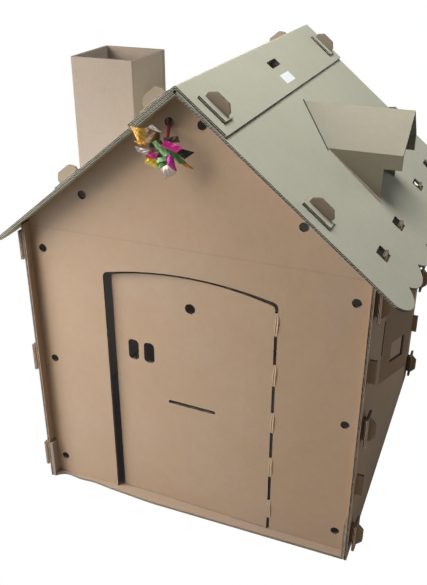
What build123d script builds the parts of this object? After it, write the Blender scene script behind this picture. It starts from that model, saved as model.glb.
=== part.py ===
from build123d import *

import os
from math import asin, atan2, cos, hypot, radians, sin, tan

# Playhouse of corrugated board: flat sheets, creased and locked together by tabs and collars.
# X runs to the right as seen from the door, Y runs from the door to the back, and Z is up.
# The origin is on the ground under the middle of the floor. Lengths are in millimetres.

# The house as a whole
board = 7.0  # thickness of the double-wall board
outer_width = 840.0  # over the outer faces of the side walls
wall_length = 882.0  # side walls, from the front end to the back end
ridge_height = 1115.7  # outer fold of the ridge cap
roof_angle = 39.05  # slope of the roof in degrees
roof_overhang = 27.0  # the roof past the ends of the side walls
gable_setback = 23.0  # outer face of a gable wall behind the ends of the side walls
play = 0.25  # gap on each side of a tab in a slot of another sheet
overrun = 20.0  # how far a cut runs past what it cuts

# Locking tabs, collars and finger holes of the gable walls
tab_width = 60.0
tab_reach = 29.3  # from the outer face that the tab comes out of
tab_chamfer = 13.0
tab_rounding = 7.0
collar_length = 74.0
collar_depth = 44.5
collar_lift = 8.0  # collars on the side walls stand off the wall by this much
roof_tab_upper = 81.0  # middle of the tab, down the slope from the ridge fold
roof_tab_lower = 374.5
wall_tab_drop = 60.0  # middle of the top tab below the top of the side wall
wall_tab_foot = 69.0  # middle of the lowest tab above the ground
wall_tab_shares = (1, 0.498, 0)  # from the lowest tab up to the top tab
plain_tab_length = 57.0
plain_tab_reach = 16.0
plain_tab_shares = (0.738, 0.2405)  # on the same stretch
finger_hole = 21.0  # diameter
finger_edge = 38.5  # hole centre from the side wall's outer face
finger_ridge_drop = 86.9  # centre of the top holes below the ridge fold
finger_ridge_side = 36.5
finger_slope_depth = 48.9  # holes beside the lower roof tabs, below the cap's outer face
finger_wall_shares = (0.9905, 0.496, -0.011)  # on the stretch from the lowest tab to the top tab

# Door in the front wall
door_left = -221.0  # free edge of the opening
door_right = 213.5  # hinge edge of the opening
door_crown = 681.0
door_shoulder = 655.0  # where the arch ends above each side
door_corner = 15.0
door_foot_gap = 1.5  # under the leaf, above the floor sheet
door_kerf = 7.0  # width of the cuts in the hinge line
door_top_gap = 8.0
door_free_gap = 15.0
door_swing = 2.0  # degrees inwards
door_bridge = 58.0  # creased length left in the hinge line
door_bridge_heights = (73.0, 205.5, 338.0, 470.5, 603.0)
door_hole_x = 0.2
door_hole_z = 597.0
door_hole = 26.0
handle_slot_width = 28.5
handle_slot_height = 56.0
handle_slot_z = 450.7
handle_slot_x = (-155.8, -112.7)
handle_slot_round = 10.5
letter_slot_left = -62.6
letter_slot_right = 64.1
letter_slot_z = 323.0
letter_slot_height = 9.5

# Window and shutter in the right wall
shutter_hinge = -241.0  # Y of the crease
shutter_width = 122.0
shutter_foot = 390.0
shutter_top = 640.0
shutter_kerf = 3.0
shutter_swing = 23.0  # degrees outwards
shutter_hole = 56.5
shutter_hole_start = 41.0  # from the crease
shutter_hole_foot = 434.0
hinge_cut_foot = 471.0
hinge_cut_top = 565.0
hinge_cut_width = 6.0

# Roof panels and the tabs on top of the side walls
eave_reach = 69.2  # down the slope, from the side wall's outer face to the straight ends
notch_reach = 76.2
lobe_reach = 103.2
lobe_pitch = 121.0
notch_count = 7
top_tab_length = 38.0
top_tab_rise = 4.0  # above the roof panel's outer face
top_tab_places = (-332.0, -148.0, 148.0, 332.0)
top_hole_length = 33.0  # down the slope
top_hole_width = 41.5

# Ridge cap
cap_run = 141.0
cap_inset = 3.0  # ends of the cap behind the ends of the roof panels
cap_fold = 6.0  # outer radius of the fold
cap_hole_across = 22.0  # down the slope
cap_hole_length = 66.0  # along the ridge
cap_hole_run = 58.0
cap_hole_y = 17.0
cap_hole_round = 4.0
patch_across = 27.0
patch_length = 66.0
patch_run = 106.0
patch_thickness = 0.4

# Floor sheet
flap_height = 113.0  # top of the upturned side flaps
floor_fold = 5.0
crush_length = 300.0  # crushed stretch of the front edge, from the left end
crush_depth = 17.0
crush_shares = ((0.1, 1.0), (0.22, 0.76), (0.36, 0.85), (0.52, 0.6), (0.72, 0.33), (0.88, 0.12))

# Dormer on the right slope
dormer_drop = 116.9  # dormer's ridge below the ridge fold of the cap
dormer_ridge_y = 2.0
dormer_front = 401.0
dormer_near_y = -117.0
dormer_near_fall = 76.4  # near eave below the dormer's ridge
dormer_far_y = 71.0
dormer_far_fall = 70.8
dormer_cheek_front = 360.0
dormer_strip = 35.4  # height of the strip that runs on over the open end
dormer_tab_width = 34.0
dormer_tab_places = (272.0, 330.0)
house_tab_depth = 12.0  # tabs of dormer and chimney below the roof panel

# Chimney on the left slope
chimney_left = -335.0
chimney_right = -178.0
chimney_near = -301.0
chimney_far = -135.0
chimney_rise = 6.3  # top of the chimney above the ridge fold
chimney_fold = 3.0
chimney_tab_width = 60.0
chimney_seam = 2.0

# Pinwheel toy, its stick put through the top left finger hole
stick_radius = 4.0
stick_inside = 42.0  # length of the stick behind the outer face of the gable wall
hub_out = 47.0  # end of the stick in front of the gable wall
hub_drop = 44.0  # end of the stick below the middle of the hole
toy_turn = 14.0  # degrees that the toy is turned to the right about its hole
hub_radius = 9.0
hub_length = 10.0
petal_length = 72.0
petal_width = 50.0
petal_root = 3.4  # width of a petal at the hub
petal_thickness = 0.8
petal_gap = 0.3  # between the hub and a petal
petal_bow_share = 0.22  # bow of a petal's section as a share of its width
petal_curl_shares = ((-1, 0), (-0.68, 0.72), (0, 1), (0.68, 0.72), (1, 0))
petal_shoulder_share = 0.8  # where a petal is widest, as a share of its length
petal_tip_share = 0.35  # half width of the tip, as a share of the petal's width
petal_shares = (
    ("gold", 146, 1.30, 0.76),
    ("brown", 112, 0.88, 0.60),
    ("magenta", 14, 0.80, 0.60),
    ("green", -31, 1.20, 0.50),
    ("violet", -55, 0.92, 0.40),
    ("silver", -77, 1.05, 0.42),
    ("lime", -99, 0.68, 0.28),
    ("yellow", -127, 0.92, 0.46),
    ("pink", -152, 0.66, 0.30),
    ("pearl", -175, 0.95, 0.38),
)  # colour, direction in degrees, then length and width as shares of a full petal's

# Worked out from the sizes above
slope_cos = cos(radians(roof_angle))
slope_sin = sin(radians(roof_angle))
slope_tan = tan(radians(roof_angle))
half_width = outer_width / 2
inner_half = half_width - board
gable_face = wall_length / 2 - gable_setback
gable_inner = gable_face - board
gable_middle = gable_face - board / 2
roof_length = wall_length + 2 * roof_overhang
cap_length = roof_length - 2 * cap_inset
tab_root = 3 * board
slot_length = tab_width + 2 * play
slot_width = board + 2 * play
door_hinge = door_right - door_kerf / 2
house_span = outer_width + roof_length
eave_run = half_width / slope_cos + eave_reach
notch_run = half_width / slope_cos + notch_reach
lobe_run = half_width / slope_cos + lobe_reach
dormer_ridge_z = ridge_height - dormer_drop
dormer_near_z = dormer_ridge_z - dormer_near_fall
dormer_far_z = dormer_ridge_z - dormer_far_fall
chimney_top = ridge_height + chimney_rise


def slope_plane(side, height):
    """A roof slope's plane at a height off the cap's outer face; side is 1 right and -1 left."""
    outward = Vector(side * slope_sin, 0, slope_cos)
    down = Vector(side * slope_cos, 0, -slope_sin)
    return Plane(origin=Vector(0, 0, ridge_height) + outward * height, x_dir=down, z_dir=outward)


def slope_point(side, run, height):
    """X and Z of the point that lies a run down the slope and a height off the cap's outer face."""
    x = side * (run * slope_cos + height * slope_sin)
    return (x, ridge_height - run * slope_sin + height * slope_cos)


def roof_z(x, height):
    """Z of the roof at a distance x from the middle and a height off the cap's outer face."""
    return ridge_height + height / slope_cos - abs(x) * slope_tan


def keep(piece, name):
    """Label a finished piece and write it to its own file."""
    piece.label = name
    export_step(piece, f"parts/{name}.step")


def tab_heights(shares):
    """Heights on the side walls, given as shares of the way from the lowest tab to the top tab."""
    stretch = wall_top - wall_tab_drop - wall_tab_foot
    return [wall_tab_foot + share * stretch for share in shares]


os.makedirs("parts", exist_ok=True)
wall_top = roof_z(half_width, -2 * board)
wall_tab_heights = tab_heights(wall_tab_shares)
plain_tab_heights = tab_heights(plain_tab_shares)
finger_wall_heights = tab_heights(finger_wall_shares)

# Locking tab, flat: its foot is on the local X axis and its root reaches down into the sheet
with BuildSketch() as lock_tab:
    with BuildLine():
        Polyline(
            (-tab_width / 2, -tab_root),
            (tab_width / 2, -tab_root),
            (tab_width / 2, tab_reach - tab_chamfer),
            (tab_width / 2 - tab_chamfer, tab_reach),
            (tab_chamfer - tab_width / 2, tab_reach),
            (-tab_width / 2, tab_reach - tab_chamfer),
            close=True,
        )
    make_face()
    fillet(lock_tab.vertices().group_by(Axis.Y)[-1], tab_rounding)

# Gable sheet, flat: the outline under the roof, ten locking tabs, four plain tabs, ten holes
gable_apex = roof_z(0, -2 * board)
gable_shoulder = roof_z(inner_half, -2 * board)
with BuildSketch() as gable:
    with BuildLine():
        Polyline(
            (0, gable_apex),
            (inner_half, gable_shoulder),
            (inner_half, flap_height),
            (inner_half - board, flap_height),
            (inner_half - board, board),
            (board - inner_half, board),
            (board - inner_half, flap_height),
            (-inner_half, flap_height),
            (-inner_half, gable_shoulder),
            close=True,
        )
    make_face()
    for side in (-1, 1):
        with Locations(Location(slope_point(side, roof_tab_upper, 0), -side * roof_angle)):
            add(lock_tab.sketch)
        with Locations(Location(slope_point(side, roof_tab_lower, -board), -side * roof_angle)):
            add(lock_tab.sketch)
        for height in wall_tab_heights:
            with Locations(Location((side * half_width, height), -side * 90)):
                add(lock_tab.sketch)
        plain_middle = side * (inner_half - board + half_width + plain_tab_reach) / 2
        for height in plain_tab_heights:
            with Locations((plain_middle, height)):
                Rectangle(2 * board + plain_tab_reach, plain_tab_length)
        hole_places = [
            (side * finger_ridge_side, ridge_height - finger_ridge_drop),
            slope_point(side, roof_tab_lower, -finger_slope_depth),
        ]
        hole_places += [(side * (half_width - finger_edge), z) for z in finger_wall_heights]
        with Locations(*hole_places):
            Circle(finger_hole / 2, mode=Mode.SUBTRACT)

# Back wall: the plain gable sheet
with BuildPart() as back_wall:
    with BuildSketch(Plane.XZ.offset(-gable_inner)):
        add(gable.sketch)
    extrude(amount=-board)
keep(back_wall.part, "back_wall")


# Front wall: the same sheet with an arched door, which stays on it by creased bridges
def door_outline(free_gap, hinge_gap, top_gap, foot):
    """Lines of the door's outline at these gaps from the opening's edge, down to the foot height."""
    left, right = door_left + free_gap, door_right - hinge_gap
    shoulder, crown = door_shoulder - top_gap, door_crown - top_gap
    middle = (left + right) / 2
    Polyline((left, shoulder), (left, foot), (right, foot), (right, shoulder))
    ThreePointArc((left, shoulder), (middle, crown), (right, shoulder))


def leaf_point(along, out):
    """X and Y of a point of the swung leaf: along from the hinge, out from its inner face."""
    swing = radians(door_swing)
    x = door_hinge + along * cos(swing) - out * sin(swing)
    return (x, -gable_inner - along * sin(swing) - out * cos(swing))


swing_cos = cos(radians(door_swing))
swing_sin = sin(radians(door_swing))
door_plane = Plane(
    origin=(door_hinge, -gable_inner, 0),
    x_dir=(swing_cos, -swing_sin, 0),
    z_dir=(-swing_sin, -swing_cos, 0),
)
with BuildSketch() as leaf:
    with BuildLine():
        door_outline(door_free_gap, door_kerf, door_top_gap, board + door_foot_gap)
    make_face()
    fillet(leaf.vertices().group_by(Axis.Y)[-1], door_corner - door_kerf)
    with Locations((door_hole_x, door_hole_z)):
        Circle(door_hole / 2, mode=Mode.SUBTRACT)
    with Locations(*[(x, handle_slot_z) for x in handle_slot_x]):
        RectangleRounded(
            handle_slot_width, handle_slot_height, handle_slot_round, mode=Mode.SUBTRACT
        )
    with Locations(((letter_slot_left + letter_slot_right) / 2, letter_slot_z)):
        SlotOverall(letter_slot_right - letter_slot_left, letter_slot_height, mode=Mode.SUBTRACT)

with BuildSketch() as opening:
    with BuildLine():
        door_outline(0, 0, 0, board - overrun)
    make_face()
    fillet(opening.vertices().group_by(Axis.Y)[-1], door_corner)

with BuildPart() as front_wall:
    with BuildSketch(Plane.XZ.offset(gable_face)):
        add(gable.sketch)
        add(opening.sketch, mode=Mode.SUBTRACT)
    extrude(amount=-board)
    with BuildSketch(door_plane):
        with Locations((-door_hinge, 0)):
            add(leaf.sketch)
    extrude(amount=board)
    for height in door_bridge_heights:
        with BuildSketch(Plane.XY.offset(height - door_bridge / 2)):
            with BuildLine():
                Polyline(
                    (door_hinge + door_kerf, -gable_inner),
                    (door_hinge, -gable_inner),
                    leaf_point(-door_kerf, 0),
                    leaf_point(-door_kerf, board),
                    (door_hinge + door_kerf, -gable_face),
                    close=True,
                )
            make_face()
        extrude(amount=door_bridge)
keep(front_wall.part, "front_wall")

# Side walls: sheets with slots for the gable tabs and four short tabs along the top
top_tab_end = roof_z(inner_half, -board) + top_tab_rise
with BuildSketch() as side_sheet:
    with Locations((0, wall_top / 2)):
        Rectangle(wall_length, wall_top)
    with Locations(*[(y, (wall_top + top_tab_end) / 2 - board / 2) for y in top_tab_places]):
        Rectangle(top_tab_length, top_tab_end - wall_top + board)
    slot_places = [(y, z) for y in (-gable_middle, gable_middle) for z in wall_tab_heights]
    with Locations(*slot_places):
        Rectangle(slot_width, slot_length, mode=Mode.SUBTRACT)
    slot_places = [(y, z) for y in (-gable_middle, gable_middle) for z in plain_tab_heights]
    with Locations(*slot_places):
        Rectangle(slot_width, plain_tab_length + 2 * play, mode=Mode.SUBTRACT)

with BuildPart() as left_wall:
    with BuildSketch(Plane.YZ.offset(-half_width)):
        add(side_sheet.sketch)
    extrude(amount=board)
keep(left_wall.part, "left_wall")


def shutter_point(along, back):
    """X and Y of a point of the swung shutter: along from the crease, back from its outer face."""
    swing = radians(shutter_swing)
    x = half_width + along * sin(swing) - back * cos(swing)
    return (x, shutter_hinge + along * cos(swing) + back * sin(swing))


shutter_sin = sin(radians(shutter_swing))
shutter_cos = cos(radians(shutter_swing))
shutter_plane = Plane(
    origin=(half_width, shutter_hinge, 0),
    x_dir=(shutter_sin, shutter_cos, 0),
    z_dir=(shutter_cos, -shutter_sin, 0),
)
shutter_height = shutter_top - shutter_foot
crease_half = hinge_cut_width / 2
with BuildPart() as right_wall:
    with BuildSketch(Plane.YZ.offset(inner_half)):
        add(side_sheet.sketch)
        with Locations((shutter_hinge - crease_half, shutter_foot - shutter_kerf)):
            Rectangle(
                shutter_width + crease_half + shutter_kerf,
                shutter_height + 2 * shutter_kerf,
                align=(Align.MIN, Align.MIN),
                mode=Mode.SUBTRACT,
            )
    extrude(amount=board)
    with BuildSketch(shutter_plane):
        with Locations((crease_half, shutter_foot)):
            Rectangle(shutter_width - crease_half, shutter_height, align=(Align.MIN, Align.MIN))
        with Locations((shutter_hole_start, shutter_hole_foot)):
            Rectangle(
                shutter_hole, shutter_hole, align=(Align.MIN, Align.MIN), mode=Mode.SUBTRACT
            )
    extrude(amount=-board)
    for foot, top in ((shutter_foot, hinge_cut_foot), (hinge_cut_top, shutter_top)):
        with BuildSketch(Plane.XY.offset(foot)):
            with BuildLine():
                Polyline(
                    (half_width, shutter_hinge - hinge_cut_width),
                    (half_width, shutter_hinge),
                    shutter_point(hinge_cut_width, 0),
                    shutter_point(hinge_cut_width, board),
                    (inner_half, shutter_hinge - hinge_cut_width),
                    close=True,
                )
            make_face()
        extrude(amount=top - foot)
keep(right_wall.part, "right_wall")

# Floor sheet: its side flaps are folded up inside the side walls, and the tabs pass through them
with BuildPart() as floor_sheet:
    with BuildSketch(Plane.XZ.offset(wall_length / 2)):
        with BuildLine():
            Polyline(
                (-inner_half, 0),
                (inner_half, 0),
                (inner_half, flap_height),
                (inner_half - board, flap_height),
                (inner_half - board, board),
                (board - inner_half, board),
                (board - inner_half, flap_height),
                (-inner_half, flap_height),
                close=True,
            )
        make_face()
    extrude(amount=-wall_length)
    fillet(floor_sheet.edges().filter_by(Axis.Y).group_by(Axis.Z)[0], floor_fold)
    with BuildSketch(Plane.YZ.offset(-half_width)):
        with Locations(*[(y, wall_tab_heights[-1]) for y in (-gable_middle, gable_middle)]):
            Rectangle(slot_width, slot_length)
    extrude(amount=outer_width, mode=Mode.SUBTRACT)
    with BuildSketch():
        with BuildLine():
            crush_start = board - inner_half
            crush_edge = -wall_length / 2
            crush_line = [(crush_start, crush_edge)]
            for along_share, depth_share in crush_shares:
                place = crush_start + along_share * crush_length
                crush_line.append((place, crush_edge + depth_share * crush_depth))
            crush_line.append((crush_start + crush_length, crush_edge))
            Spline(*crush_line)
            Polyline(
                crush_line[-1],
                (crush_line[-1][0], crush_edge - overrun),
                (crush_start, crush_edge - overrun),
                crush_line[0],
            )
        make_face()
    extrude(amount=board, mode=Mode.SUBTRACT)
keep(floor_sheet.part, "floor_sheet")

# Roof panels: scalloped eaves, slots for the gable tabs and holes for the side walls' top tabs
ridge_edge = 2 * board * slope_tan
top_hole_end = (half_width + 2 * board * slope_sin) / slope_cos + play
notches = [(i - (notch_count - 1) / 2) * lobe_pitch for i in range(notch_count)]
lobe_ends = [(eave_run, -roof_length / 2)]
lobe_ends += [(notch_run, v) for v in notches]
lobe_ends += [(eave_run, roof_length / 2)]


def roof_outline():
    """Lines of a roof panel on its slope plane: ridge edge, two ends and the scalloped eave."""
    Polyline(
        lobe_ends[0], (ridge_edge, -roof_length / 2), (ridge_edge, roof_length / 2), lobe_ends[-1]
    )
    for start, end in zip(lobe_ends, lobe_ends[1:]):
        ThreePointArc(start, (lobe_run, (start[1] + end[1]) / 2), end)


roof_slots = [(u, v) for u in (roof_tab_upper, roof_tab_lower) for v in (-gable_middle, gable_middle)]
dormer_cheeks = ((dormer_near_y, dormer_near_y + board), (dormer_far_y - board, dormer_far_y))
chimney_faces = ((chimney_near, chimney_near + board), (chimney_far - board, chimney_far))
chimney_middle = (chimney_left + chimney_right) / 2
for side_name, side in (("left", -1), ("right", 1)):
    with BuildPart() as roof:
        with BuildSketch(slope_plane(side, -2 * board)):
            with BuildLine():
                roof_outline()
            make_face()
            with Locations(*roof_slots):
                Rectangle(slot_length, slot_width, mode=Mode.SUBTRACT)
            with Locations(*[(top_hole_end - top_hole_length / 2, v) for v in top_tab_places]):
                Rectangle(top_hole_length, top_hole_width, mode=Mode.SUBTRACT)
            if side_name == "right":
                with Locations((cap_hole_run, cap_hole_y)):
                    RectangleRounded(cap_hole_across, cap_hole_length, cap_hole_round, mode=Mode.SUBTRACT)
        extrude(amount=board)
        # Upright slots for the tabs of what stands on this slope
        if side_name == "right":
            slot_half = dormer_tab_width / 2 + play
            cuts = [(x, y) for x in dormer_tab_places for y in dormer_cheeks]
        else:
            slot_half = chimney_tab_width / 2 + play
            cuts = [(chimney_middle, y) for y in chimney_faces]
        for place, (near, far) in cuts:
            with BuildSketch(Plane.XY):
                with Locations((place, (near + far) / 2)):
                    Rectangle(2 * slot_half, far - near + 2 * play)
            extrude(amount=ridge_height, mode=Mode.SUBTRACT)
    keep(roof.part, f"roof_{side_name}")

# Ridge cap: one sheet folded over the ridge, with the upper gable tabs coming through it
with BuildPart() as ridge_cap:
    with BuildSketch(Plane.XZ.offset(cap_length / 2)):
        with BuildLine():
            Polyline(
                (0, ridge_height),
                slope_point(1, cap_run, 0),
                slope_point(1, cap_run, -board),
                (0, roof_z(0, -board)),
                slope_point(-1, cap_run, -board),
                slope_point(-1, cap_run, 0),
                close=True,
            )
        make_face()
    extrude(amount=-cap_length)
    fillet(ridge_cap.edges().sort_by(Axis.Z)[-1], cap_fold)
    for side in (-1, 1):
        with BuildSketch(slope_plane(side, 0)):
            with Locations(*[(roof_tab_upper, v) for v in (-gable_middle, gable_middle)]):
                Rectangle(slot_length, slot_width)
        extrude(amount=-board, mode=Mode.SUBTRACT)
    with BuildSketch(slope_plane(1, 0)):
        with Locations((cap_hole_run, cap_hole_y)):
            RectangleRounded(cap_hole_across, cap_hole_length, cap_hole_round)
    extrude(amount=-board, mode=Mode.SUBTRACT)
keep(ridge_cap.part, "ridge_cap")

# Blank paper patch stuck on the cap
with BuildPart() as paper_patch:
    with BuildSketch(slope_plane(1, 0)):
        with Locations((patch_run, cap_hole_y)):
            Rectangle(patch_across, patch_length)
    extrude(amount=patch_thickness)
keep(paper_patch.part, "paper_patch")

# Dormer: one sheet folded into two cheeks and two slopes, cut off along the roof panel
dormer_foot = roof_z(dormer_front, -board) - tab_root
dormer_start = (roof_z(0, -board) - dormer_ridge_z) / slope_tan - board
with BuildPart() as dormer:
    with BuildSketch(Plane.YZ.offset(dormer_start)) as section:
        with BuildLine():
            Polyline(
                (dormer_near_y, dormer_foot),
                (dormer_near_y, dormer_near_z),
                (dormer_ridge_y, dormer_ridge_z),
                (dormer_far_y, dormer_far_z),
                (dormer_far_y, dormer_foot),
                close=True,
            )
        make_face()
        offset(amount=-board, kind=Kind.INTERSECTION, mode=Mode.SUBTRACT)
    extrude(amount=dormer_front - dormer_start)
    with BuildSketch(Plane.XZ.offset(house_span / 2)):
        with Locations((dormer_cheek_front, dormer_near_z - dormer_strip)):
            Rectangle(
                dormer_front - dormer_cheek_front + overrun,
                dormer_near_z - dormer_strip - dormer_foot + overrun,
                align=(Align.MIN, Align.MAX),
            )
    extrude(amount=-house_span, mode=Mode.SUBTRACT)
    with BuildSketch(slope_plane(1, -board)):
        Rectangle(2 * house_span, house_span)
    extrude(amount=-house_span, mode=Mode.SUBTRACT)
    for near, far in dormer_cheeks:
        for place in dormer_tab_places:
            low, high = place - dormer_tab_width / 2, place + dormer_tab_width / 2
            with BuildSketch(Plane.XZ.offset(-near)):
                with BuildLine():
                    Polyline(
                        (low, roof_z(low, -board) + board),
                        (high, roof_z(high, -board) + board),
                        (high, roof_z(high, -2 * board) - house_tab_depth),
                        (low, roof_z(low, -2 * board) - house_tab_depth),
                        close=True,
                    )
                make_face()
            extrude(amount=near - far)
keep(dormer.part, "dormer")

# Chimney: a square tube, open at the top, cut off along the roof panel, with a tab at each face
with BuildPart() as chimney:
    chimney_foot = roof_z(chimney_left, -board) - overrun
    with BuildSketch(Plane.XY.offset(chimney_foot)) as tube:
        with Locations((chimney_middle, (chimney_near + chimney_far) / 2)):
            Rectangle(chimney_right - chimney_left, chimney_far - chimney_near)
            offset(amount=-board, kind=Kind.INTERSECTION, mode=Mode.SUBTRACT)
    extrude(amount=chimney_top - chimney_foot)
    corners = chimney.edges().filter_by(Axis.Z)
    fillet(
        corners.group_by(Axis.X)[0] + corners.group_by(Axis.X)[-1].sort_by(Axis.Y)[:1], chimney_fold
    )
    with BuildSketch(slope_plane(-1, -board)):
        Rectangle(2 * house_span, house_span)
    extrude(amount=-house_span, mode=Mode.SUBTRACT)
    for near, far in chimney_faces:
        low, high = chimney_middle - chimney_tab_width / 2, chimney_middle + chimney_tab_width / 2
        with BuildSketch(Plane.XZ.offset(-near)):
            with BuildLine():
                Polyline(
                    (low, roof_z(low, -board) + board),
                    (high, roof_z(high, -board) + board),
                    (high, roof_z(high, -2 * board) - house_tab_depth),
                    (low, roof_z(low, -2 * board) - house_tab_depth),
                    close=True,
                )
            make_face()
        extrude(amount=near - far)
    # Seam where the sheet's two ends meet, at the far right corner
    with BuildSketch(Plane.XY.offset(chimney_top)):
        with Locations((chimney_right, chimney_far - board - chimney_seam)):
            Rectangle(board, chimney_seam)
    extrude(amount=-chimney_top, mode=Mode.SUBTRACT)
keep(chimney.part, "chimney")

# Collars: small slotted plates pushed over every locking tab
for end_name, end in (("front", -1), ("back", 1)):
    for side_name, side in (("left", -1), ("right", 1)):
        seats = {
            "ridge": slope_plane(side, 0).location * Location((roof_tab_upper, side * end * gable_middle)),
            "eave": slope_plane(side, -board).location
            * Location((roof_tab_lower, side * end * gable_middle)),
        }
        for seat_name, height in zip(("top", "middle", "foot"), wall_tab_heights):
            seats[seat_name] = Plane(
                origin=(side * (half_width + collar_lift), end * gable_middle, height),
                x_dir=(0, 0, 1),
                z_dir=(side, 0, 0),
            ).location
        for seat_name, seat in seats.items():
            with BuildPart() as collar:
                with BuildSketch(Plane(seat)):
                    Rectangle(collar_length, collar_depth)
                    Rectangle(tab_width, board, mode=Mode.SUBTRACT)
                extrude(amount=board)
            keep(collar.part, f"collar_{end_name}_{side_name}_{seat_name}")

# Pinwheel: the stick leans on the lower edge of its hole and carries a hub and curled petals
hub_height = ridge_height - finger_ridge_drop - hub_drop
edge_rise = hub_drop - finger_hole / 2
edge_distance = hypot(hub_out, edge_rise)
lean = atan2(edge_rise, hub_out) + asin((stick_radius + play) / edge_distance)
toy_axis = Axis((-finger_ridge_side, -gable_face, 0), (0, 0, 1))
with BuildPart() as pinwheel_stick:
    stick_foot = (-finger_ridge_side, -gable_face - hub_out, hub_height)
    with BuildSketch(Plane(origin=stick_foot, x_dir=(1, 0, 0), z_dir=(0, cos(lean), sin(lean)))):
        Circle(stick_radius)
    extrude(amount=edge_distance + stick_inside)
keep(pinwheel_stick.part.rotate(toy_axis, toy_turn), "pinwheel_stick")

hub_back = gable_face + hub_out + stick_radius * sin(lean)
with BuildPart() as pinwheel_hub:
    with BuildSketch(Plane.XZ.offset(hub_back)):
        with Locations((-finger_ridge_side, hub_height)):
            Circle(hub_radius)
    extrude(amount=hub_length)
    chamfer(pinwheel_hub.edges().sort_by(Axis.Y)[0], hub_length / 4)
keep(pinwheel_hub.part.rotate(toy_axis, toy_turn), "pinwheel_hub")

petal_root_run = hub_radius + petal_gap
hub_middle = Vector(-finger_ridge_side, -hub_back - hub_length / 4, hub_height)
for colour, direction, length_share, width_share in petal_shares:
    outward = Vector(cos(radians(direction)), 0, sin(radians(direction)))
    across = Vector(-outward.Z, 0, outward.X)
    length = petal_length * length_share
    width = petal_width * width_share
    bow = width * petal_bow_share
    crest = [(width / 2 * x, bow * (y - 1)) for x, y in petal_curl_shares]
    with BuildPart() as petal:
        with BuildSketch(Plane(hub_middle, x_dir=across, z_dir=outward)):
            with BuildLine():
                Polyline(*crest, *[(x, y - petal_thickness) for x, y in reversed(crest)], close=True)
            make_face()
        extrude(amount=length)
        with BuildSketch(Plane(hub_middle, x_dir=outward, z_dir=(0, -1, 0)).offset(-2 * bow)):
            with BuildLine():
                Polyline(
                    (petal_root_run, -petal_root / 2),
                    (length * petal_shoulder_share, -width / 2),
                    (length, -width * petal_tip_share),
                    (length, width * petal_tip_share),
                    (length * petal_shoulder_share, width / 2),
                    (petal_root_run, petal_root / 2),
                    close=True,
                )
            make_face()
        extrude(amount=3 * bow, mode=Mode.INTERSECT)
    keep(petal.part.rotate(toy_axis, toy_turn), f"pinwheel_petal_{colour}")
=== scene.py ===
import math

import bpy
import numpy as np
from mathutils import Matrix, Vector


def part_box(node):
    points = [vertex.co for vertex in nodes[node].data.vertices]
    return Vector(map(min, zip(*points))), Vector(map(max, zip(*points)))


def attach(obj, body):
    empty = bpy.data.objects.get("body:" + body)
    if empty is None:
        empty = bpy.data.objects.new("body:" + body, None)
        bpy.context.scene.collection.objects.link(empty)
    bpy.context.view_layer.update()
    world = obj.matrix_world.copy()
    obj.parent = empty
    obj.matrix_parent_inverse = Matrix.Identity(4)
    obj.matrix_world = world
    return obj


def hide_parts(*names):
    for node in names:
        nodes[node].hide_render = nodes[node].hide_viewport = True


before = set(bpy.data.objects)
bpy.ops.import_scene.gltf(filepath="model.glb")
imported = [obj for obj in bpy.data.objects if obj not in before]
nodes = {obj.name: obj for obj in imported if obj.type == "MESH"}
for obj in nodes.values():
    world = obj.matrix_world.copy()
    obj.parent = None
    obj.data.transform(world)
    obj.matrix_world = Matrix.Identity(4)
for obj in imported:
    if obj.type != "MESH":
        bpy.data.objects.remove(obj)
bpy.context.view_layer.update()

MM = 0.001

# Studio and camera.
# The camera stands right of the door's middle at a grown-up's chest height and looks down. A
# large window light stands on the left, and the floor and the sky are plain white to the eye.
camera_place = (0.6243, -1.8091, 1.4197)
camera_azimuth, camera_elevation = math.radians(22.03), math.radians(26.99)
camera_data = bpy.data.cameras.new("camera")
camera_data.sensor_fit = "AUTO"
camera_data.sensor_width = 36.0
camera_data.lens = 46.44
camera = bpy.data.objects.new("camera", camera_data)
bpy.context.scene.collection.objects.link(camera)
camera.location = camera_place
gaze = Vector((
    -math.sin(camera_azimuth) * math.cos(camera_elevation),
    math.cos(camera_azimuth) * math.cos(camera_elevation),
    -math.sin(camera_elevation),
))
camera.rotation_euler = gaze.to_track_quat("-Z", "Y").to_euler()
bpy.context.scene.camera = camera


def studio_light(name, place, target, size, power, colour, spread=180.0):
    """A square area light that stands at place and faces target, in metres, watts and degrees."""
    data = bpy.data.lights.new(name, "AREA")
    data.shape = "SQUARE"
    data.size = size
    data.energy = power
    data.color = colour
    data.spread = math.radians(spread)
    light = bpy.data.objects.new(name, data)
    bpy.context.scene.collection.objects.link(light)
    light.location = place
    aim = Vector(target) - Vector(place)
    light.rotation_euler = aim.to_track_quat("-Z", "Y").to_euler()


studio_light(
    "window",
    place=(-1.45, -1.25, 1.65),
    target=(-0.2, -0.42, 0.15),
    size=1.5,
    power=36.5,
    colour=(1.0, 0.94, 0.875),
    spread=130.0,
)
studio_light(
    "ceiling",
    place=(0.24, -0.08, 2.9),
    target=(0.1, -0.05, 1.0),
    size=1.1,
    power=44.0,
    colour=(0.95, 0.99, 1.0),
)
studio_light(
    "left_sky",
    place=(-1.25, -0.95, 0.4),
    target=(-0.42, -0.42, 0.2),
    size=0.6,
    power=11.0,
    colour=(0.64, 0.8, 1.0),
)
studio_light(
    "back_fill",
    place=(1.6, 2.0, 0.8),
    target=(0.2, 0.2, 0.5),
    size=1.5,
    power=15.0,
    colour=(0.88, 0.95, 1.0),
)
inside_lamp = bpy.data.lights.new("inside_glow", "POINT")
inside_lamp.energy = 1.2
inside_lamp.color = (0.42, 0.62, 0.95)
inside_lamp.shadow_soft_size = 0.2
inside_glow = bpy.data.objects.new("inside_glow", inside_lamp)
inside_glow.location = (0.0, 0.05, 0.4)
bpy.context.scene.collection.objects.link(inside_glow)
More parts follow.
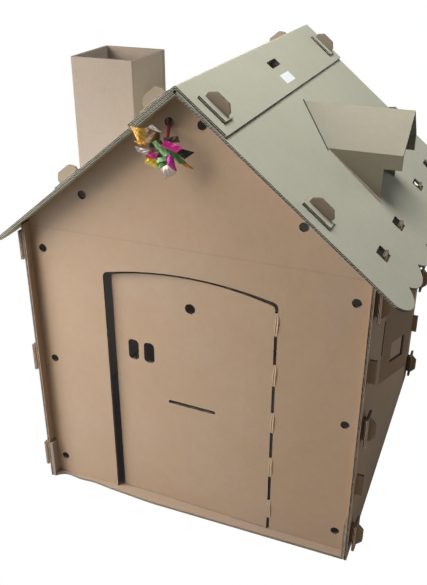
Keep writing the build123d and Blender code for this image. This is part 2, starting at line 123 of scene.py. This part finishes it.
bpy.context.scene.view_settings.view_transform = "Standard"


def white_to_the_eye(tree, lit_shader, output):
    """Shows plain white where a ray from the eye meets the backdrop, and lit_shader to others."""
    eye = tree.nodes.new("ShaderNodeLightPath")
    white = tree.nodes.new("ShaderNodeEmission")
    white.inputs["Color"].default_value = (1.0, 1.0, 1.0, 1.0)
    either = tree.nodes.new("ShaderNodeMixShader")
    tree.links.new(eye.outputs["Is Camera Ray"], either.inputs[0])
    tree.links.new(lit_shader, either.inputs[1])
    tree.links.new(white.outputs[0], either.inputs[2])
    tree.links.new(either.outputs[0], output.inputs["Surface"])


world = bpy.data.worlds.new("studio")
bpy.context.scene.world = world
world.use_nodes = True
sky = world.node_tree.nodes["Background"]
sky.inputs["Color"].default_value = (0.95, 0.98, 1.0, 1.0)
sky.inputs["Strength"].default_value = 0.10
white_to_the_eye(world.node_tree, sky.outputs[0], world.node_tree.nodes["World Output"])

floor_half = 7.0
floor_drop = 0.0005  # keeps it just clear of the floor sheet
floor_corners = ((-1, -1), (1, -1), (1, 1), (-1, 1))
floor_mesh = bpy.data.meshes.new("studio_floor")
floor_mesh.from_pydata(
    [(x * floor_half, y * floor_half, -floor_drop) for x, y in floor_corners], [], [(0, 1, 2, 3)]
)
floor_object = bpy.data.objects.new("studio_floor", floor_mesh)
bpy.context.scene.collection.objects.link(floor_object)
floor_paint = bpy.data.materials.new("floor_paint")
floor_paint.use_nodes = True
floor_tree = floor_paint.node_tree
floor_shader = floor_tree.nodes["Principled BSDF"]
floor_shader.inputs["Base Color"].default_value = (0.36, 0.34, 0.31, 1.0)
floor_shader.inputs["Roughness"].default_value = 0.8
white_to_the_eye(floor_tree, floor_shader.outputs[0], floor_tree.nodes["Material Output"])
floor_mesh.materials.append(floor_paint)

# Front wall.
# The gable sheet of double-wall corrugated board: three kraft liners with a fine and a coarse
# wave between them. The door is cut into it and hangs ajar by creased bridges at its right edge.
board = 7.0  # thickness; all lengths are in mm from here on
core_half, face_half = 3.05, 3.4  # from the board's middle, where its cut edge turns into a face
fine_middle, fine_rise, fine_pitch = -1.6, 1.15, 6.3
coarse_middle, coarse_rise, coarse_pitch = -5.0, 1.55, 8.1
liner_depths = (-0.2, -3.15, -6.8)
paper_half, hollow_start = 0.2, 0.65  # from the middle of a liner or wave
wave_crush = 5.0  # how far the cutter pushed the waves aside
hollow_depth = 1.2
crease_half, crease_fade = 1.0, 2.2  # from the middle of a crease or cut, where its line ends
# crease_shade is the share of tone left in the painted shade of a crease or cut; crease_depth is
# its dent.
crease_shade, crease_depth = 0.1, 0.5
leftward, rightward = (-1.0, 0.0, 0.0), (1.0, 0.0, 0.0)
frontward, backward = (0.0, -1.0, 0.0), (0.0, 1.0, 0.0)
downward, upward = (0.0, 0.0, -1.0), (0.0, 0.0, 1.0)


class Finish:
    """A procedural material. place is the point in mm in the house's frame, and the calls add
    shader nodes and return their output."""

    def __init__(self, name):
        self.material = bpy.data.materials.new(name)
        self.material.use_nodes = True
        self.tree = self.material.node_tree
        self.shader = self.tree.nodes["Principled BSDF"]
        coordinates = self.tree.nodes.new("ShaderNodeTexCoord")
        self.place = self.stretch(coordinates.outputs["Object"], (1 / MM, 1 / MM, 1 / MM))

    def feed(self, socket, value):
        if isinstance(value, bpy.types.NodeSocket):
            self.tree.links.new(value, socket)
        else:
            socket.default_value = value

    def maths(self, operation, *values):
        step = self.tree.nodes.new("ShaderNodeMath")
        step.operation = operation
        for socket, value in zip(step.inputs, values):
            self.feed(socket, value)
        return step.outputs[0]

    def off(self, value, target):
        """How far value is from target, either way."""
        return self.maths("ABSOLUTE", self.maths("SUBTRACT", value, target))

    def dot(self, place, direction):
        step = self.tree.nodes.new("ShaderNodeVectorMath")
        step.operation = "DOT_PRODUCT"
        self.feed(step.inputs[0], place)
        step.inputs[1].default_value = direction
        return step.outputs["Value"]

    def stretch(self, place, factors):
        step = self.tree.nodes.new("ShaderNodeVectorMath")
        step.operation = "MULTIPLY"
        self.feed(step.inputs[0], place)
        step.inputs[1].default_value = factors
        return step.outputs["Vector"]

    def noise(self, place, scale, detail=3.0, rough=0.55):
        step = self.tree.nodes.new("ShaderNodeTexNoise")
        self.feed(step.inputs["Vector"], place)
        step.inputs["Scale"].default_value = scale
        step.inputs["Detail"].default_value = detail
        step.inputs["Roughness"].default_value = rough
        return step.outputs["Fac"]

    def rise(self, value, start, end):
        """Runs smoothly from 0 at start to 1 at end."""
        step = self.tree.nodes.new("ShaderNodeMapRange")
        step.interpolation_type = "SMOOTHSTEP"
        self.feed(step.inputs["Value"], value)
        step.inputs["From Min"].default_value = start
        step.inputs["From Max"].default_value = end
        return step.outputs["Result"]

    def blend(self, share, first, second):
        step = self.tree.nodes.new("ShaderNodeMix")
        step.data_type = "RGBA"
        self.feed(step.inputs[0], share)
        for socket, value in ((step.inputs[6], first), (step.inputs[7], second)):
            self.feed(socket, (*value, 1.0) if isinstance(value, tuple) else value)
        return step.outputs[2]

    def scale_colour(self, colour, factor):
        step = self.tree.nodes.new("ShaderNodeVectorMath")
        step.operation = "SCALE"
        self.feed(step.inputs[0], colour)
        self.feed(step.inputs["Scale"], factor)
        return step.outputs["Vector"]

    def emboss(self, height):
        """Raises the surface by height, in mm."""
        bump = self.tree.nodes.new("ShaderNodeBump")
        bump.inputs["Strength"].default_value = 1.0
        bump.inputs["Distance"].default_value = MM
        self.feed(bump.inputs["Height"], height)
        self.feed(self.shader.inputs["Normal"], bump.outputs["Normal"])


def kraft_board(name, tone, faces, across, swung=None, scores=(), hollow_shade=0.07, shade_beyond=None):
    """Kraft board material. faces are (outward normal, distance in mm) of the outer liner: the
    depth below it is the largest of normal . place - distance. across is the direction over the
    waves. swung is (faces, limits) for a flap that is turned out of its sheet: inside all its
    limits, given like faces, its own faces count. scores are creases and cuts in the face, given
    as (normal, distance, strength, limits); each is dented and painted as a dark line of shade,
    as dark as its strength says. hollow_shade is how light the hollows between the waves look in
    a cut edge, as a share of tone: their darkness is painted shade. aged is (faces, tone) for the
    paper beyond any of its faces, a darker tone painted as shade on the tabs that stand there."""
    paper = Finish(name)
    place = paper.place

    def depth_below(planes):
        depths = [paper.maths("SUBTRACT", paper.dot(place, n), d) for n, d in planes]
        deepest = depths[0]
        for other in depths[1:]:
            deepest = paper.maths("MAXIMUM", deepest, other)
        return deepest

    def inside(planes):
        return paper.maths("LESS_THAN", depth_below(planes), 0.0)

    def greyed(share):
        return tuple((1.0 - share) * c + share * sum(tone) / 3 for c in tone)

    depth = depth_below(faces)
    if swung:
        flap_faces, limits = swung
        change = paper.maths("SUBTRACT", depth_below(flap_faces), depth)
        depth = paper.maths("MULTIPLY_ADD", change, inside(limits), depth)
    from_middle = paper.off(depth, -board / 2)
    edge = paper.maths("SUBTRACT", 1.0, paper.rise(from_middle, core_half, face_half))

    # The waves are sines of the way along the edge. A point is in a hollow where it is far from
    # the nearest wave or liner. The hollows are painted dark, as shade.
    along = paper.dot(place, across)
    crush = paper.noise(place, scale=0.11, detail=2.0)
    sway = paper.maths("MULTIPLY_ADD", crush, wave_crush, along)
    middles = list(liner_depths)
    for middle, rise, pitch in (
        (fine_middle, fine_rise, fine_pitch),
        (coarse_middle, coarse_rise, coarse_pitch),
    ):
        turn = paper.maths("MULTIPLY", sway, 2 * math.pi / pitch)
        middles.append(paper.maths("MULTIPLY_ADD", paper.maths("SINE", turn), rise, middle))
    gap = paper.off(depth, middles[0])
    for middle in middles[1:]:
        gap = paper.maths("MINIMUM", gap, paper.off(depth, middle))
    hollow = paper.rise(gap, paper_half, hollow_start)

    # Patches, fibres, ribs over the waves and dark specks change the tone of the paper, each by
    # its weight.
    clouds = paper.noise(place, scale=0.006)
    blotches = paper.noise(place, scale=0.05, detail=4.0, rough=0.6)
    mottle = paper.noise(place, scale=0.55, rough=0.7)
    fibre_stretch = tuple(0.35 + 1.65 * abs(v) for v in across)
    fibres = paper.noise(paper.stretch(place, fibre_stretch), scale=0.9, rough=0.75)
    ribs = paper.maths("SINE", paper.maths("MULTIPLY", along, 2 * math.pi / coarse_pitch))
    specks = paper.rise(paper.noise(place, scale=0.33, detail=1.0, rough=0.4), 0.70, 0.76)
    level = 1.0
    for pattern, weight in ((clouds, 0.14), (blotches, 0.11), (mottle, 0.22), (fibres, 0.17)):
        level = paper.maths("MULTIPLY_ADD", paper.maths("SUBTRACT", pattern, 0.5), weight, level)
    for pattern, weight in ((ribs, 0.006), (specks, -0.22)):
        level = paper.maths("MULTIPLY_ADD", pattern, weight, level)
    face_colour = paper.blend(
        paper.rise(clouds, 0.45, 0.75),
        paper.scale_colour(tone, level),
        paper.scale_colour(greyed(0.12), level),
    )
    # Beyond the given faces, on the tabs above the roof, the paper is painted a darker tone, as
    # shade.
    if shade_beyond:
        shade_beyond_faces, shade_beyond_tone = shade_beyond
        beyond = paper.maths("GREATER_THAN", depth_below(shade_beyond_faces), 0.0)
        face_colour = paper.blend(beyond, face_colour, paper.scale_colour(shade_beyond_tone, level))

    # The same patterns raise the face a little, in mm, and creases and hollows lower it.
    heights = [(ribs, 0.008), (fibres, 0.10), (mottle, 0.06), (clouds, 2.5), (blotches, 0.5)]
    crease = None
    for normal, distance, strength, limits in scores:
        near = paper.off(paper.dot(place, normal), distance)
        line = paper.maths("SUBTRACT", 1.0, paper.rise(near, crease_half, crease_fade))
        line = paper.maths("MULTIPLY", line, strength)
        if limits:
            line = paper.maths("MULTIPLY", line, inside(limits))
        crease = line if crease is None else paper.maths("MAXIMUM", crease, line)
    # Along creases and cuts the face is painted dark, as shade, and dented.
    if crease is not None:
        face_colour = paper.blend(crease, face_colour, tuple(crease_shade * c for c in tone))
        heights.append((crease, -crease_depth))

    cut_tone = tuple(1.28 * c for c in greyed(0.28))
    # The hollows take a dark tone: painted shade where light does not reach between the waves.
    hollow_shade_tone = tuple(hollow_shade * c for c in tone)
    edge_colour = paper.blend(hollow, paper.scale_colour(cut_tone, level), hollow_shade_tone)
    paper.feed(paper.shader.inputs["Base Color"], paper.blend(edge, face_colour, edge_colour))
    roughness = paper.maths("MULTIPLY_ADD", mottle, 0.16, 0.74)
    paper.feed(paper.shader.inputs["Roughness"], roughness)
    paper.shader.inputs["Specular IOR Level"].default_value = 0.28

    heights.append((paper.maths("MULTIPLY", hollow, edge), -hollow_depth))
    height = 0.0
    for pattern, rise in heights:
        height = paper.maths("MULTIPLY_ADD", pattern, rise, height)
    paper.emboss(height)
    return paper.material


def dress(name, material):
    """Gives a CAD node its finish in every material slot."""
    mesh = nodes[name].data
    mesh.materials.clear()
    mesh.materials.append(material)


kraft = (0.44, 0.305, 0.20)
# tab_shade_tone is painted shade: the gables' tabs above the roof are given a darker, greyer tone.
tab_shade_tone = (0.29, 0.235, 0.18)
wall_low, wall_high = (np.array(c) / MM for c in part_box("back_wall"))
gable_inner, gable_face = wall_low[1], wall_high[1]
door_left, door_right, door_crown = -221.0, 213.5, 681.0
door_kerf, door_free_gap, door_top_gap = 7.0, 15.0, 8.0
door_hinge = door_right - door_kerf / 2
door_swing = math.radians(2.0)
leaf_normal = (-math.sin(door_swing), -math.cos(door_swing), 0.0)
leaf_distance = leaf_normal[0] * door_hinge + leaf_normal[1] * -gable_inner + board
door_limits = [
    (leftward, -(door_left + door_free_gap / 2)),
    (rightward, door_hinge),
    (upward, door_crown - door_top_gap / 2),
]
parcel_crease_shade = (upward, 747.0, 0.1, None)  # painted shade along the crease from the folded parcel, right across the gable
roof_angle = math.radians(39.05)
ridge_height = 1115.7
right_slope = (math.sin(roof_angle), 0.0, math.cos(roof_angle))
left_slope = (-right_slope[0], 0.0, right_slope[2])
cap_distance = ridge_height * right_slope[2]
roof_distance = cap_distance - board
roof_faces = [(right_slope, roof_distance), (left_slope, roof_distance)]
dress(
    "front_wall",
    kraft_board(
        "front_wall_board",
        kraft,
        [(frontward, gable_face)],
        across=rightward,
        swung=([(leaf_normal, leaf_distance)], door_limits),
        scores=[parcel_crease_shade],
        shade_beyond=(roof_faces, tab_shade_tone),
    ),
)

# Hinge folds.
# The liner buckles into a raised lens at each bridge of the door's hinge, with two light ridges
# where it was creased.
bridge_heights = (73.0, 205.5, 338.0, 470.5, 603.0)
fold_length, fold_half_width, fold_rise = 60.0, 4.2, 1.7
tip_half_width = 0.15
fold_aside = 1.5  # to the right of the hinge line
fold_bend = 0.8
fold_clearance = 0.1  # off the wall
fold_liner = 0.4
hinge_paper = kraft_board(
    "hinge_paper", (0.50, 0.36, 0.24), [(frontward, gable_face)], across=rightward
)


def thin_piece(name, places, thickness, offset, material, turned_over=False):
    """A thin sheet over a grid of places in mm, one quad between each four neighbours. Solidify
    gives it its thickness in mm, to the side that offset says."""
    rows, columns = places.shape[:2]
    index = np.arange(rows * columns).reshape(rows, columns)
    corners = [index[:-1, :-1], index[:-1, 1:], index[1:, 1:], index[1:, :-1]]
    if turned_over:
        corners = [corners[0], corners[3], corners[2], corners[1]]
    faces = np.stack(corners, axis=-1).reshape(-1, 4)
    mesh = bpy.data.meshes.new(name)
    mesh.from_pydata((places.reshape(-1, 3) * MM).tolist(), [], faces.tolist())
    mesh.update()
    mesh.materials.append(material)
    piece = bpy.data.objects.new(name, mesh)
    bpy.context.scene.collection.objects.link(piece)
    body = piece.modifiers.new("thickness", "SOLIDIFY")
    body.thickness = thickness * MM
    body.offset = offset
    return piece


def hinge_fold(name, height):
    """A buckled lens of liner. At s along and t across, both from -1 to 1, its half width is
    fold_half_width * (1 - s^4) plus the tips' and it stands
    fold_rise * (1 - t^2) * (0.45 + 3.2 t^2) * (1 - s^2) off the wall; a sine in s bends it."""
    s, t = np.meshgrid(np.linspace(-1.0, 1.0, 41), np.linspace(-1.0, 1.0, 21), indexing="ij")
    half = fold_half_width * (1.0 - s**4) + tip_half_width
    lift = fold_rise * (1.0 - t**2) * (0.45 + 3.2 * t**2) * (1.0 - s**2)
    bend = fold_bend * np.sin(3.0 * s + height)
    x = door_hinge + fold_aside + half * t + bend
    y = -gable_face - fold_clearance - lift
    z = height + fold_length / 2 * s
    piece = thin_piece(name, np.stack([x, y, z], axis=-1), fold_liner, -1.0, hinge_paper)
    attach(piece, "root")


for number, height in enumerate(bridge_heights, start=1):
    hinge_fold(f"hinge_fold_{number}", height)

# Back wall.
# The same gable sheet of board without a door, with the same crease across it. Its tabs lock it
# to the side walls, the roof panels and the ridge cap.
dress(
    "back_wall",
    kraft_board(
        "back_wall_board",
        kraft,
        [(backward, gable_face)],
        across=rightward,
        scores=[parcel_crease_shade],
        shade_beyond=(roof_faces, tab_shade_tone),
    ),
)

# Side walls.
# Two sheets of board with slots for the gables' tabs. The right one has a shutter cut in it,
# swung outwards about an upright crease.
half_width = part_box("right_wall")[0][0] / MM + board
shutter_hinge, shutter_width = -241.0, 122.0
shutter_foot, shutter_top = 390.0, 640.0
shutter_kerf = 1.0
shutter_swing = math.radians(23.0)
shutter_normal = (math.cos(shutter_swing), -math.sin(shutter_swing), 0.0)
shutter_distance = shutter_normal[0] * half_width + shutter_normal[1] * shutter_hinge
shutter_limits = [
    (frontward, -(shutter_hinge + 2 * shutter_kerf)),
    (backward, shutter_hinge + shutter_width + shutter_kerf),
    (downward, -(shutter_foot - shutter_kerf)),
    (upward, shutter_top + shutter_kerf),
]
dress("left_wall", kraft_board("left_wall_board", kraft, [(leftward, half_width)], backward))
dress(
    "right_wall",
    kraft_board(
        "right_wall_board",
        kraft,
        [(rightward, half_width)],
        across=backward,
        swung=([(shutter_normal, shutter_distance)], shutter_limits),
    ),
)

# Floor sheet.
# One sheet of board that lies on the ground. Its sides are folded up inside the side walls.
floor_kraft = (0.36, 0.272, 0.20)
inner_half = half_width - board
floor_fold_radius = 5.0
diagonal = 0.7071  # either part of a unit vector at 45 degrees
face_slack = 0.1  # how far a face stands off a rounded fold


def fold_face(first, second, radius):
    """Distance of the face that leans 45 degrees over the rounded fold between two faces, which
    are first and second away: diagonal * (first + second - 2 radius) + radius and the slack."""
    return diagonal * (first + second - 2.0 * radius) + radius + face_slack


floor_fold = fold_face(inner_half, 0.0, floor_fold_radius)
dress(
    "floor_sheet",
    kraft_board(
        "floor_board",
        floor_kraft,
        [
            (downward, 0.0),
            (rightward, inner_half),
            (leftward, inner_half),
            ((diagonal, 0.0, -diagonal), floor_fold),
            ((-diagonal, 0.0, -diagonal), floor_fold),
        ],
        across=(diagonal, diagonal, 0.0),
        hollow_shade=0.75,
    ),
)

# Roof panels and ridge cap.
# Scalloped sheets of board on both slopes, and one folded over the ridge on top of them. Their
# greener, lighter tone is painted light: the kraft as the cool light from above shows it.
# The gables' tabs come up through their slots; the dormer's cut is a dark line of painted shade.
# roof_kraft_cool_lit is painted light: the kraft made lighter and greener by the cool light from
# above.
roof_kraft_cool_lit = (0.455, 0.43, 0.33)
down_slope = (1.0 / math.cos(roof_angle), 0.0, 0.0)
cut_normal = (0.7844, 0.6203, 0.0)
cut_from, cut_to = 129.0, 231.0
cut_ends = [(leftward, -cut_from), (rightward, cut_to)]
cut_shade_lines = (101.6, 103.4)  # two near each other make one wide dark line of painted shade in the cut
dormer_cut_shade = [(cut_normal, distance, 1.0, cut_ends) for distance in cut_shade_lines]
for side_name, slope in (("left", left_slope), ("right", right_slope)):
    dress(
        f"roof_{side_name}",
        kraft_board(
            f"roof_{side_name}_board",
            roof_kraft_cool_lit,
            [(slope, roof_distance)],
            across=down_slope,
            scores=dormer_cut_shade if side_name == "right" else (),
        ),
    )
cap_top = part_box("ridge_cap")[1][2] / MM
cap_fold_radius = 6.0
# The fold over the ridge is painted as a faint line of shade.
cap_crease_shade = (rightward, 0.0, 0.12, None)
cap_faces = [(right_slope, cap_distance), (left_slope, cap_distance)]
for lean in (-roof_angle / 2, 0.0, roof_angle / 2):
    normal = (math.sin(lean), 0.0, math.cos(lean))
    reach = normal[2] * (cap_top - cap_fold_radius) + cap_fold_radius + face_slack
    cap_faces.append((normal, reach))
dress(
    "ridge_cap",
    kraft_board("ridge_cap_board", roof_kraft_cool_lit, cap_faces, down_slope, scores=[cap_crease_shade]),
)

# Dormer.
# One sheet of board folded into two cheeks and two slopes. It stands on the right roof panel,
# held by its own tabs.
dormer_kraft = (0.325, 0.295, 0.225)
dormer_low, dormer_high = (np.array(c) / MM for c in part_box("dormer"))
near_y, far_y = dormer_low[1], dormer_high[1]
ridge_y, ridge_z = 2.0, 998.8
near_eave, far_eave = 922.4, 928.0
near_slope = np.array([0.0, near_eave - ridge_z, ridge_y - near_y])
far_slope = np.array([0.0, ridge_z - far_eave, far_y - ridge_y])
dormer_faces = [(frontward, -near_y), (backward, far_y)]
for slope in (near_slope, far_slope):
    normal = slope / np.linalg.norm(slope)
    dormer_faces.append((tuple(normal), normal[1] * ridge_y + normal[2] * ridge_z))
dress("dormer", kraft_board("dormer_board", dormer_kraft, dormer_faces, rightward))

# Dormer's tongue.
# A slim corner of liner that was bent out of the cut. It lies on the roof along the near cheek
# and widens downhill.
tongue_tone = (0.40, 0.315, 0.245)
tongue_liner, tongue_lift = 0.8, 1.6
tongue_places = np.array([
    [(228.0, -117.2, 0.0), (362.0, -117.2, 0.0)],
    [(300.0, -127.0, 0.0), (366.0, -133.0, 0.0)],
])
# Its height at x is that of the roof's upper face, roof_top - x * tan(roof_angle), and the lift.
roof_top = ridge_height - board / right_slope[2]
tongue_places[..., 2] = roof_top - tongue_places[..., 0] * math.tan(roof_angle) + tongue_lift
tongue_paper = kraft_board("tongue_paper", tongue_tone, [(right_slope, roof_distance)], down_slope)
tongue = thin_piece(
    "dormer_tongue", tongue_places, tongue_liner, -1.0, tongue_paper, turned_over=True
)
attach(tongue, "root")

# Chimney.
# A sheet of board folded into a square tube and closed at its far right corner. It stands on
# the left roof panel, held by its own tabs.
chimney_kraft = (0.352, 0.287, 0.232)
chimney_fold_radius = 3.0
chimney_low, chimney_high = (np.array(c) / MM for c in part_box("chimney"))
chimney_out = {
    leftward: -chimney_low[0],
    rightward: chimney_high[0],
    frontward: -chimney_low[1],
    backward: chimney_high[1],
}
chimney_faces = list(chimney_out.items())
for side, end in ((leftward, frontward), (rightward, frontward), (leftward, backward)):
    normal = (diagonal * side[0], diagonal * end[1], 0.0)
    reach = fold_face(chimney_out[side], chimney_out[end], chimney_fold_radius)
    chimney_faces.append((normal, reach))
dress(
    "chimney",
    kraft_board("chimney_board", chimney_kraft, chimney_faces, (diagonal, diagonal, 0.0)),
)

# Collars.
# Small slotted plates of the same board, pushed over the locking tabs from outside, so that
# the walls, the roof panels and the ridge cap can't slip off.
collar_lift = 8.0
wall_outside = half_width + collar_lift + board
collar_finishes = {
    "left_ridge": [(left_slope, cap_distance + board)],
    "left_eave": [(left_slope, cap_distance)],
    "right_ridge": [(right_slope, cap_distance + board)],
    "right_eave": [(right_slope, cap_distance)],
    "left_wall": [(leftward, wall_outside)],
    "right_wall": [(rightward, wall_outside)],
}
for seat, faces in collar_finishes.items():
    side_name, row = seat.split("_")
    # The roof's collars take the roof's tone, with its painted light.
    tone = kraft if row == "wall" else roof_kraft_cool_lit
    finish = kraft_board(f"collar_{seat}_board", tone, faces, across=backward)
    rows = ("top", "middle", "foot") if row == "wall" else (row,)
    for end_name in ("front", "back"):
        for row_name in rows:
            dress(f"collar_{end_name}_{side_name}_{row_name}", finish)

# Paper patch.
# A blank sticker of smooth white paper on the ridge cap.
patch_white = (0.86, 0.86, 0.84)
patch = Finish("patch_paper")
patch_level = patch.maths("MULTIPLY_ADD", patch.noise(patch.place, scale=0.4), 0.12, 0.94)
patch.feed(patch.shader.inputs["Base Color"], patch.scale_colour(patch_white, patch_level))
patch.shader.inputs["Roughness"].default_value = 0.6
dress("paper_patch", patch.material)

# Pinwheel.
# A toy: curled and crumpled petals of coloured film round a hub, on a red plastic stick that
# is stuck in a finger hole of the front gable.
foils = {
    "gold": (0.82, 0.47, 0.09),
    "brown": (0.21, 0.125, 0.055),
    "magenta": (0.80, 0.06, 0.34),
    "green": (0.11, 0.27, 0.09),
    "violet": (0.76, 0.08, 0.45),
    "silver": (0.72, 0.66, 0.62),
    "lime": (0.29, 0.52, 0.23),
    "yellow": (0.80, 0.58, 0.08),
    "pink": (0.62, 0.06, 0.25),
    "pearl": (0.80, 0.68, 0.60),
    "amber": (0.62, 0.30, 0.06),
    "umber": (0.10, 0.06, 0.045),
    # a near-black film where the toy's shadow falls on the wall: partly painted shadow, partly a
    # film's dark back
    "painted_shadow": (0.022, 0.026, 0.026),
}
dull_foils = ("brown", "umber", "painted_shadow")
bright_metal, dull_metal = 0.45, 0.1
stick_red = (0.36, 0.07, 0.08)
film_thickness = 0.3
toy_turn = math.radians(14.0)
toy_hub = np.array([-23.9, -468.6, 984.8])
toy_right = np.array([math.cos(toy_turn), math.sin(toy_turn), 0.0])
toy_up = np.array([0.0, 0.0, 1.0])
toy_out = np.array([math.sin(toy_turn), -math.cos(toy_turn), 0.0])


def foil(name, colour, metallic=bright_metal, roughness=0.33):
    """Coloured foil: a creased, shiny film. Its colour is painted lighter and darker with its
    crumples, as light and shade on the creases.
    """
    film = Finish(name)
    crumple = film.noise(film.place, scale=0.09, detail=4.0, rough=0.6)
    # Painted light and shade: the colour follows the same crumples that the bump raises.
    level = film.maths("MULTIPLY_ADD", crumple, 0.9, 0.55)
    film.feed(film.shader.inputs["Base Color"], film.scale_colour(colour, level))
    film.shader.inputs["Metallic"].default_value = metallic
    film.shader.inputs["Roughness"].default_value = roughness
    film.emboss(film.maths("MULTIPLY", crumple, 3.0))
    return film.material


def foil_petal(name, corners, bow, crumple, colour, *stood_for):
    """A petal of film. Its point at (s, t) lies between the four corners, in proportion, and is
    lifted by bow * 4 s (1 - s) towards the viewer; three sine ripples in s and t crumple it, and
    one in t shifts it sideways."""
    across = np.linspace(0.0, 1.0, 25)
    s, t = np.meshgrid(across, across, indexing="ij")
    a, b, c, d = (np.array(corner) for corner in corners)
    s3, t3 = s[..., None], t[..., None]
    grid = (1 - t3) * ((1 - s3) * a + s3 * b) + t3 * ((1 - s3) * d + s3 * c)
    turn = grid[0, 0, 0] * 0.37  # lets each petal's ripples start elsewhere
    ripple = np.sin(9.0 * s + 5.0 * t + turn) + 0.6 * np.sin(17.0 * t - 7.0 * s + 2.0 * turn)
    ripple += 0.35 * np.sin(31.0 * (s + t) + turn)
    lift = grid[..., 2] + bow * 4.0 * s * (1.0 - s) + crumple * 0.5 * ripple
    side_step = 0.35 * crumple * np.sin(14.0 * t + turn)
    places = toy_hub + (grid[..., :1] + side_step[..., None]) * toy_right
    places = places + grid[..., 1:2] * toy_up + lift[..., None] * toy_out
    metal = dull_metal if colour in dull_foils else bright_metal
    film = foil(name + "_film", foils[colour], metal)
    piece = thin_piece(name, places, film_thickness, 0.0, film, turned_over=True)
    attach(piece, "root")
    if stood_for:
        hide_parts(*stood_for)


# Each row is a petal's name, its colour, its bow and crumple, whether it takes the place of the
# plain petal of that name, and its corners in mm: right of, above and in front of the hub.
petals = (
    ("gold", "gold", 3, 0.8, True,
     ((-35.1, 5.4, 3), (-53.7, 17.2, 5), (-67.7, 48.0, 5), (-38.1, 45.1, 7))),
    ("gold_rim", "amber", 2, 0.8, False,
     ((-31.8, 12.1, 9), (-49.9, 19.3, 9), (-61.6, 20.0, 11), (-40.2, 6.8, 11))),
    ("brown", "brown", 5, 1.7, True,
     ((-9.3, 18.4, 4), (-47.7, 14.5, 3), (-38.0, 44.9, 3), (-7.6, 44.8, 3))),
    ("fold", "umber", 2, 1.2, False,
     ((-36.0, 12.0, 1), (-8.0, 22.0, 2), (6.0, 6.0, 4), (-24.0, -6.0, 3))),
    ("fold_low", "umber", 2, 0.8, False,
     ((-18.0, -6.0, 4), (10.0, 6.0, 5), (8.0, -24.0, 6), (-14.0, -29.0, 5))),
    # This near-black sheet is partly a film's dark back and partly painted shadow that the toy
    # casts on the wall.
    ("painted_shadow", "painted_shadow", 2, 0.8, False,
     ((20.0, 0.0, 2), (36.0, 4.0, 0), (60.0, -3.0, -5), (38.0, -19.0, -5))),
    ("brown_rim", "silver", 1, 0.8, False,
     ((-33.1, 47.7, 9), (-22.9, 53.9, 9), (-4.3, 39.4, 7), (-11.1, 39.4, 9))),
    ("shade", "umber", 1, 0.8, False,
     ((-0.7, 15.3, 0), (-2.1, 26.5, 0), (27.2, 29.5, -2), (31.2, 16.8, -2))),
    ("silver", "silver", 2, 1.2, True,
     ((-25.9, -1.7, 6), (-33.6, -9.4, 6), (-54.3, -3.5, 6), (-58.9, 8.4, 8))),
    ("pink", "pink", 3, 0.8, True,
     ((-13.9, -7.3, 8), (-13.7, -18.7, 8), (-39.4, -12.8, 8), (-28.7, 0.9, 10))),
    ("yellow", "yellow", 3, 0.8, True,
     ((-12.4, -17.8, 8), (-15.9, -36.9, 6), (-41.7, -27.0, 6), (-37.0, -13.6, 8))),
    ("lime", "lime", 2, 0.8, True,
     ((-16.3, 23.7, 12), (-22.8, 18.6, 12), (0.2, -8.9, 14), (13.7, -2.6, 14))),
    ("lime_low", "lime", 2, 0.8, False,
     ((5.2, -7.5, 10), (-14.4, -13.9, 10), (-15.6, -23.7, 10), (4.9, -17.0, 12))),
    ("leaf_low", "green", 2, 0.8, False,
     ((7.2, -18.9, 8), (-14.6, -25.5, 8), (-17.4, -38.9, 8), (5.7, -29.7, 8))),
    ("magenta", "magenta", 3, 0.8, True,
     ((-4.9, 12.8, 14), (4.3, 24.5, 12), (39.1, 10.1, 10), (25.3, -1.3, 12))),
    ("green", "green", 2, 0.8, True,
     ((3.1, 2.6, 8), (13.8, 9.9, 8), (43.6, -22.3, 4), (29.8, -24.9, 6))),
    ("green_tip", "amber", 1, 0.8, False,
     ((28.8, -22.9, 6), (42.0, -21.3, 4), (58.6, -37.2, -2), (44.4, -35.1, -2))),
    ("violet", "violet", 3, 0.8, True,
     ((7.4, -4.2, 12), (18.4, -8.0, 10), (25.5, -41.6, 8), (5.6, -24.3, 12))),
    ("pearl", "pearl", 4, 0.5, True,
     ((7.4, -25.4, 10), (24.2, -44.1, 8), (0.6, -58.8, 8), (-8.0, -35.2, 10))),
)
for petal_name, colour_name, bow, crumple, replacing, corners in petals:
    stood_for = (f"pinwheel_petal_{petal_name}",) if replacing else ()
    foil_petal(f"foil_{petal_name}", corners, bow, crumple, colour_name, *stood_for)
dress("pinwheel_hub", foil("foil_hub", foils["green"]))
dress("pinwheel_stick", foil("stick_plastic", stick_red, metallic=0.0, roughness=0.4))
